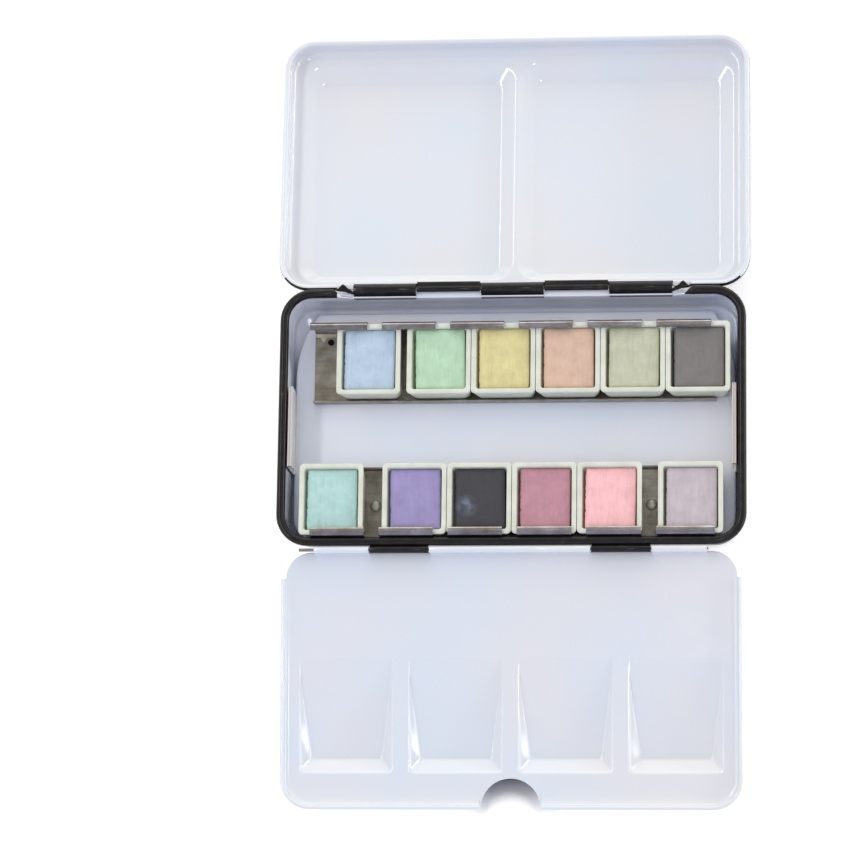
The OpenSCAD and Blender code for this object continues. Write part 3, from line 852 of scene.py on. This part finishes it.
def fold_points(outer, inner, top):
    """A folded-over edge with a shallow groove between its two leaves."""
    middle = (outer + inner) / 2
    return [(outer, top - 1.2), (outer, top - 0.15), (outer - 0.14, top), (middle + 0.1, top - 0.3),
            (middle - 0.1, top - 0.3), (inner + 0.14, top), (inner, top - 0.15), (inner, 8.0)]


# ---------------------------------------------------------------- rails and rivets

CLIP_PITCH = 17.65
CLIP_W = 13.9
CLIP_T = 0.33
PAN_CLEAR = 9.3                 # from the middle of a row to the inner face of its clips
RIVET_X = 35.5


def rail(name, node, turn):
    """A rail with a low inner lip and six clips; the first clip runs on to the rail's end.

    Returns the y of the middle of its row of pans.
    """
    bm = bmesh.new()
    low, high = box_mm(node)
    half = (high.x - low.x) / 2
    floor_z = PLATE_TOP + SHEET / 2
    lip = bend([(-PAN_CLEAR - 0.2, PLATE_TOP + 3.3), (-PAN_CLEAR - 0.2, floor_z), (9.0, floor_z)], 0.45)
    extrude(bm, strip(lip, SHEET - 0.02), -half, half, along_x)
    top = high.z
    wall = PAN_CLEAR + 0.18
    clip_path = bend([(9.0, floor_z), (wall, floor_z), (wall, 8.0)], 0.3)[:-1]
    clip_path += bend([(wall, 8.0), (wall, top - 0.9), (wall - 0.7, top - 0.2),
                       (wall - 1.85, top - 0.5)], 0.35)
    # A painted highlight: a thin rod of bright steel along the edge that faces the back, the crest on the
    # back rail, the tip on the front one.
    painted_highlight = arc(*((wall - 0.55, top - 0.24) if turn == 0 else (wall - 1.7, top - 0.4)), 0.19, 0, 315, steps=7)
    for k in range(6):
        middle = (k - 2.5) * CLIP_PITCH
        start = -half if k == 0 else middle - CLIP_W / 2
        extrude(bm, strip(clip_path, CLIP_T), start, middle + CLIP_W / 2, along_x, material=3)
        extrude(bm, painted_highlight, start + 0.05, middle + CLIP_W / 2 - 0.05, along_x, material=2)
    if turn == 0:
        lanced_tongue(bm, -half)
    row_y = high.y - wall - 0.17 if turn == 0 else low.y + wall + 0.17
    place = Matrix.Translation((0, row_y, 0)) @ Matrix.Rotation(math.radians(turn), 4, "Z")
    make_piece(name, bm, [STEEL, SHADOW, BRIGHT_STEEL, BLUE_SHEEN_CLIP_STEEL], "insert", [node],
               matrix=place)
    return row_y


def lanced_tongue(bm, end_x):
    """At the rail's open end: a bright tongue with a pointed root, pressed flat, beside a punched hole."""
    floor_z = PLATE_TOP + SHEET
    x0, x1, y0, y1 = end_x + 0.1, end_x + 5.4, 8.1, 9.1
    tongue = [Vector(p) for p in ((x0, y1), (x0, y0 + 0.1), (x0 + 1.2, y0), (x0 + 2.0, y0 - 1.3),
                                  (x0 + 2.9, y0), (x1, y0 + 0.1), (x1, y1))]
    rings = [ring(bm, tongue, floor_z - 0.1), ring(bm, tongue, floor_z + 0.02),
             ring(bm, offset(tongue, -0.08), floor_z + 0.03)]
    loft(bm, rings, 2)
    fill(bm, rings[-1], material=2)
    fill(bm, rings[0], material=2)
    hole = arc(end_x + 4.1, 6.8, 0.95, 0, 345, steps=23)
    edge = [ring(bm, offset(hole, d), floor_z + h) for d, h in ((0.12, -0.02), (0.0, 0.03), (-0.1, -0.02))]
    loft(bm, edge)
    # Painted shade: a flat near-black disc, level with the rail's top, closes the hole.
    fill(bm, [bm.verts.new((v.co.x, v.co.y, floor_z + 0.012)) for v in edge[-1]], material=1)


def rivets(rows):
    """Domed rivet heads on the rails, with their flat heads under the plate."""
    bm = bmesh.new()
    head_r, head_h, floor_z = 1.5, 0.8, PLATE_TOP + SHEET
    turns = [math.pi / 2 * k / 8 for k in range(8)]
    dome = [(head_r * math.cos(a), floor_z - 0.02 + head_h * math.sin(a)) for a in turns]
    profile = [(head_r, PLATE_TOP - 0.8), (head_r, PLATE_TOP - 0.45), (0.75, PLATE_TOP - 0.44),
               (0.75, floor_z - 0.03), (head_r, floor_z - 0.03), *dome, (0.05, floor_z + head_h - 0.02)]
    for x in (-RIVET_X, RIVET_X):
        for y in rows:
            lathe(bm, profile, lambda u, v, h, x=x, y=y: (x + u, y + v, h))
    make_piece("rivet_heads", bm, [RIVET], "insert", ["rail_rivets"])


# ---------------------------------------------------------------- pans and cakes of paint

def pan(row, number):
    """A moulded half pan: drafted walls, a soft rim, and a groove underneath that clears the rivets."""
    node = f"pan_{row}_{number}"
    low, high = box_mm(node)
    x, y = (low.x + high.x) / 2, (low.y + high.y) / 2
    hw, hd, z0 = (high.x - low.x) / 2, (high.y - low.y) / 2, low.z
    wall, draft, floor = 1.25, 0.6, 1.6
    groove_hw, groove_h = 2.0, 0.95
    groove = [y + s * (groove_hw + d) for s in (-1, 1) for d in (0, 0.1)]
    stations = [
        (draft + 2.4, groove_h, 0.6), (draft + 1.6, groove_h, 1.0), (draft + 1.4, 0.0, 1.2),
        (draft + 0.3, 0.0, 2.0), (draft + 0.05, 0.12, 2.2), (draft - 0.02, 0.5, 2.3),
        (draft - 0.07, groove_h + 0.1, 2.3),
        (0.06, PAN_HEIGHT - 0.9, 1.3), (0.0, PAN_HEIGHT - 0.3, 1.1), (0.05, PAN_HEIGHT - 0.1, 1.1),
        (0.22, PAN_HEIGHT, 1.0), (wall - 0.22, PAN_HEIGHT, 0.75), (wall - 0.05, PAN_HEIGHT - 0.1, 0.7),
        (wall, PAN_HEIGHT - 0.3, 0.7), (wall + draft - 0.05, floor + 0.5, 0.8),
        (wall + draft + 0.4, floor, 0.7), (wall + draft + 1.2, floor, 0.6),
    ]
    bm = bmesh.new()
    rings = []
    for inset, z, r in stations:
        outline = rounded_box(x - hw + inset, x + hw - inset, y - hd + inset, y + hd - inset, r,
                              side_stops=groove)
        heights = [z0 + (max(z, groove_h) if abs(p.y - y) <= groove_hw + 0.01 else z) for p in outline]
        rings.append(ring(bm, outline, heights))
    loft(bm, rings)
    fill(bm, rings[0])
    fill(bm, rings[-1])
    make_piece(f"half_pan_{row}_{number}", bm, [CREAM], f"pan_{row}_{number}", [node],
               sharp_deg=60)


def cake(node, body, colour, seed, smudged=False):
    """A crowned cake of paint that has shrunk a little from its pan, mostly on the left."""
    low, high = box_mm(node)
    chance = random.Random(seed)
    x, y = (low.x + high.x) / 2, (low.y + high.y) / 2
    hw, hd = (high.x - low.x) / 2, (high.y - low.y) / 2
    left, right = hw - chance.uniform(0.25, 0.5), hw + chance.uniform(0.0, 0.15)
    skew = chance.uniform(-0.018, 0.018)
    across, along = 40, 46
    material = dried_paint(node, colour, Vector((x - 3.3, y - 1.8, high.z)) if smudged else None)
    bm = bmesh.new()
    grid = []
    for j in range(along + 1):
        row = []
        for i in range(across + 1):
            u, v = 2 * i / across - 1, 2 * j / along - 1
            px, py = (left if u < 0 else right) * u, hd * v
            px += skew * py
            rough = noise.noise(Vector((px * 0.9, py * 0.9, seed * 7.3)))
            fine = noise.noise(Vector((px * 4.1, py * 1.6, seed * 3.1)))
            edge = max(abs(u) ** 14, abs(v) ** 18)
            border = noise.noise(Vector((px * 1.7 + 9, py * 1.7, seed * 5.0)))
            px *= 1 - (0.05 if u < 0 else 0.025) * max(0.0, border) * abs(u) ** 6
            corner = (abs(u) * abs(v)) ** 10
            px -= 0.12 * corner * u
            py -= 0.12 * corner * v
            crown = 0.22 * (1 - u * u) * (1 - v * v)
            ridge = 0.16 * math.exp(-((u + 0.86) / 0.08) ** 2)
            top = high.z - 0.12 + crown + ridge + 0.09 * rough + 0.025 * fine - 0.42 * edge
            row.append(bm.verts.new((x + px, y + py, top)))
        grid.append(row)
    for a, b in zip(grid, grid[1:]):
        bridge(bm, a, b, closed=False)
    rim = grid[0] + [r[-1] for r in grid[1:-1]] + grid[-1][::-1] + [r[0] for r in grid[-2:0:-1]]
    sink = [bm.verts.new((x + (v.co.x - x) * 0.97, y + (v.co.y - y) * 0.97, low.z + 0.05)) for v in rim]
    bridge(bm, rim, sink)
    fill(bm, sink)
    make_piece(f"cake_{node}", bm, [material], body, [node], sharp_deg=75)


BACK_PAINTS = (("paint_sky_blue", "b8cbdc"), ("paint_mint_green", "b9dab9"), ("paint_khaki_yellow", "dcd196"),
               ("paint_peach", "dbb9a2"), ("paint_sage_green", "c5c6ab"), ("paint_warm_grey", "7c7875"))
FRONT_PAINTS = (("paint_aqua", "b2d6cf"), ("paint_purple", "9c91bd"), ("paint_charcoal", "3e3c41"),
                ("paint_mauve_rose", "c08b97"), ("paint_pink", "fbc1c2"), ("paint_lilac_grey", "c5b9be"))


def pans_and_paints():
    """The twelve pans, each with its own colour of paint riding along."""
    for row, paints in (("back", BACK_PAINTS), ("front", FRONT_PAINTS)):
        for number, (node, code) in enumerate(paints, start=1):
            pan(row, number)
            cake(node, f"pan_{row}_{number}", srgb(code), seed=number + 6 * (row == "front"),
                 smudged=node == "paint_charcoal")


# ---------------------------------------------------------------- stage, light and camera

SKY_STRENGTH = 0.885
BACKDROP = (1.2, 1.2, 1.21, 1)
SKY_FRONT_TO_BACK = [(0.0, (0.76, 0.83, 1.12)), (0.3, (0.82, 0.84, 0.93)), (0.7, (0.92, 0.91, 0.89)),
                     (0.85, (1.25, 1.23, 1.19)), (1.0, (2.2, 2.16, 2.08))]
SKY_HORIZON_TO_TOP = [(0.0, (1.0, 1.0, 1.0)), (0.6, (1.06, 1.05, 1.05)), (0.88, (0.92, 0.92, 0.92)),
                      (1.0, (0.58, 0.59, 0.66))]

# The painted shadow on the floor in the flap's notch: its middle's distance behind the model's front edge,
# and the distances from there over which it fades.
NOTCH_SHADE_BEHIND = 11.5
NOTCH_SHADE_FULL, NOTCH_SHADE_END = 1.0, 18.0


def floor():
    """A plain pale floor that glows a little, so that it stays white around the object, with a painted shadow
    in the flap's notch.
    """
    size = 4.0
    bm = bmesh.new()
    corners = [(-size, -size, 0), (size, -size, 0), (size, size, 0), (-size, size, 0)]
    bm.faces.new([bm.verts.new(c) for c in corners])
    mesh = bpy.data.meshes.new("studio_floor")
    bm.to_mesh(mesh)
    bm.free()
    n = Nodes("studio_floor")
    paper = n.ramp(n.noise(3), [(0.3, (0.93, 0.93, 0.93)), (0.7, (0.95, 0.95, 0.95))])
    # Painted shadow: under the flap's notch, where the sheet hides the sky, the floor is painted dark and
    # stops glowing, fading towards the viewer.
    open_sky = n.add("ShaderNodeAmbientOcclusion", samples=24, Distance=60 * MM)
    hidden = n.range(open_sky.outputs["AO"], 1, 0, from_low=0.78, from_high=0.985)
    middle = Vector((0, cad_low.y / MM + NOTCH_SHADE_BEHIND, 0))
    painted_notch_shadow = n.product(hidden, n.near(middle, NOTCH_SHADE_FULL, NOTCH_SHADE_END))
    n.set(Base_Color=n.mix(paper, (0.15, 0.155, 0.175, 1), painted_notch_shadow),
          Emission_Strength=n.range(painted_notch_shadow, 0.5, 0.0, from_low=0.0, from_high=0.6))
    n.set(Roughness=0.9, Specular_IOR_Level=0.1, Emission_Color=(1, 1, 1, 1))
    mesh.materials.append(n.material)
    obj = bpy.data.objects.new("studio_floor", mesh)
    bpy.context.scene.collection.objects.link(obj)


def soft_sky():
    """A pale dome: bright behind and at both sides, darker and bluer towards the viewer."""
    world = bpy.data.worlds.new("studio")
    bpy.context.scene.world = world
    n = Nodes("studio", world)
    split = n.add("ShaderNodeSeparateXYZ")
    n.link(n.coords, split.inputs["Vector"])
    depth = n.ramp(n.range(split.outputs["Y"], 0, 1, from_low=-1, from_high=1), SKY_FRONT_TO_BACK)
    height = n.ramp(n.range(split.outputs["Z"], 0, 1, from_low=0, from_high=1), SKY_HORIZON_TO_TOP)
    dome = n.mix(depth, height, blend="MULTIPLY")
    # What the camera itself sees behind the floor is an even pale backdrop.
    seen = n.add("ShaderNodeLightPath").outputs["Is Camera Ray"]
    n.set(Color=n.mix(dome, BACKDROP, seen), Strength=SKY_STRENGTH)


def softbox(name, place, size, radiance, colour=(1, 1, 1), shape="RECTANGLE"):
    """A softbox that faces the middle of the model and glows with an even radiance."""
    light = bpy.data.lights.new(name, "AREA")
    light.shape = shape
    light.size, light.size_y = size
    area = size[0] * size[1] * (math.pi / 4 if shape == "ELLIPSE" else 1)
    light.energy = radiance * math.pi * area
    light.color = colour
    obj = bpy.data.objects.new(name, light)
    obj.location = place
    obj.rotation_euler = (-Vector(place)).to_track_quat("-Z", "Y").to_euler()
    bpy.context.scene.collection.objects.link(obj)


def lights():
    """Two strip lights and a small one by the lens, whose glints draw the folds in the enamel."""
    softbox("window_left", (-0.70, 0.05, 1.05), (1.1, 0.13), 7.0)
    softbox("window_right", (1.20, 0.10, 0.27), (1.0, 0.14), 7.5, colour=(1.0, 0.98, 0.95))
    softbox("lens_light", (0.13, -0.16, 1.15), (0.12, 0.12), 14, shape="ELLIPSE")


def camera():
    """The photograph's view: from above, a little in front and to the right, with a long lens."""
    data = bpy.data.cameras.new("camera")
    data.lens = 166.9
    data.sensor_width = 36
    data.clip_start, data.clip_end = 0.05, 20
    obj = bpy.data.objects.new("camera", data)
    obj.location = (0.0838, -0.2153, 1.0003)
    obj.rotation_euler = [math.radians(a) for a in (12.147, 5.898, 0.824)]
    bpy.context.scene.collection.objects.link(obj)
    bpy.context.scene.camera = obj


# ---------------------------------------------------------------- build

tin_shell()
lid_shell()
flap_sheet()
insert_tray()
rivets([rail("rail_strip_back", "rail_back", 0), rail("rail_strip_front", "rail_front", 180)])
pans_and_paints()
for pin in ("lid_hinge_pin", "flap_hinge_pin"):
    frame["nodes"][pin].data.materials.clear()
    frame["nodes"][pin].data.materials.append(STEEL)

floor()
soft_sky()
lights()
camera()
bpy.context.scene.view_settings.view_transform = "Standard"
